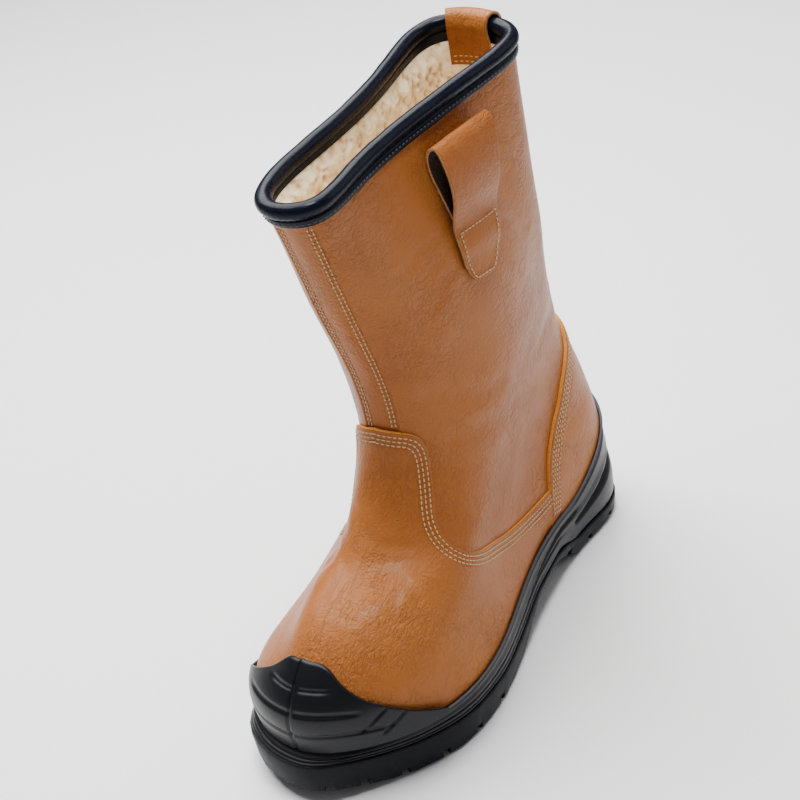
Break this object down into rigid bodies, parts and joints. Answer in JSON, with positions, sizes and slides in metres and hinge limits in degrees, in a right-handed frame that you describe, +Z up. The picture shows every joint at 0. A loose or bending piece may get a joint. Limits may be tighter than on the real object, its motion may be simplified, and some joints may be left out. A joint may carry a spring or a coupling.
{
  "type": "rigger boot",
  "caption": "Tall slip-on leather safety boot for the left foot, with rubber toe cap, lugged sole, padded collar and pull loops.",
  "frame": {"origin": "on the ground, under the middle of the boot's box", "axes": "+Z up, toe towards -Y, heel towards +Y, the wearer's left (outer side) towards +X"},
  "size_m": [0.117, 0.3096, 0.3206],
  "materials": {
    "tan_leather": "satin, creased grain",
    "strap_leather": "satin",
    "raw_edge": "matte cut edge",
    "sole_rubber": "satin",
    "midsole_rubber": "satin",
    "binding": "glossy padded roll",
    "fleece": "curly pile",
    "thread": "twisted thread",
    "sock": "felt"
  },
  "bodies": {
    "root": {"outsole": "sole_rubber", "midsole": "midsole_rubber", "scuff_cap": "midsole_rubber", "insole": "sock", "upper": "tan_leather", "vamp": "tan_leather", "counter": "tan_leather", "collar_binding": "binding", "back_tab": "strap_leather", "pull_loop_lateral": "strap_leather", "pull_loop_medial": "strap_leather"}
  },
  "joints": []
}
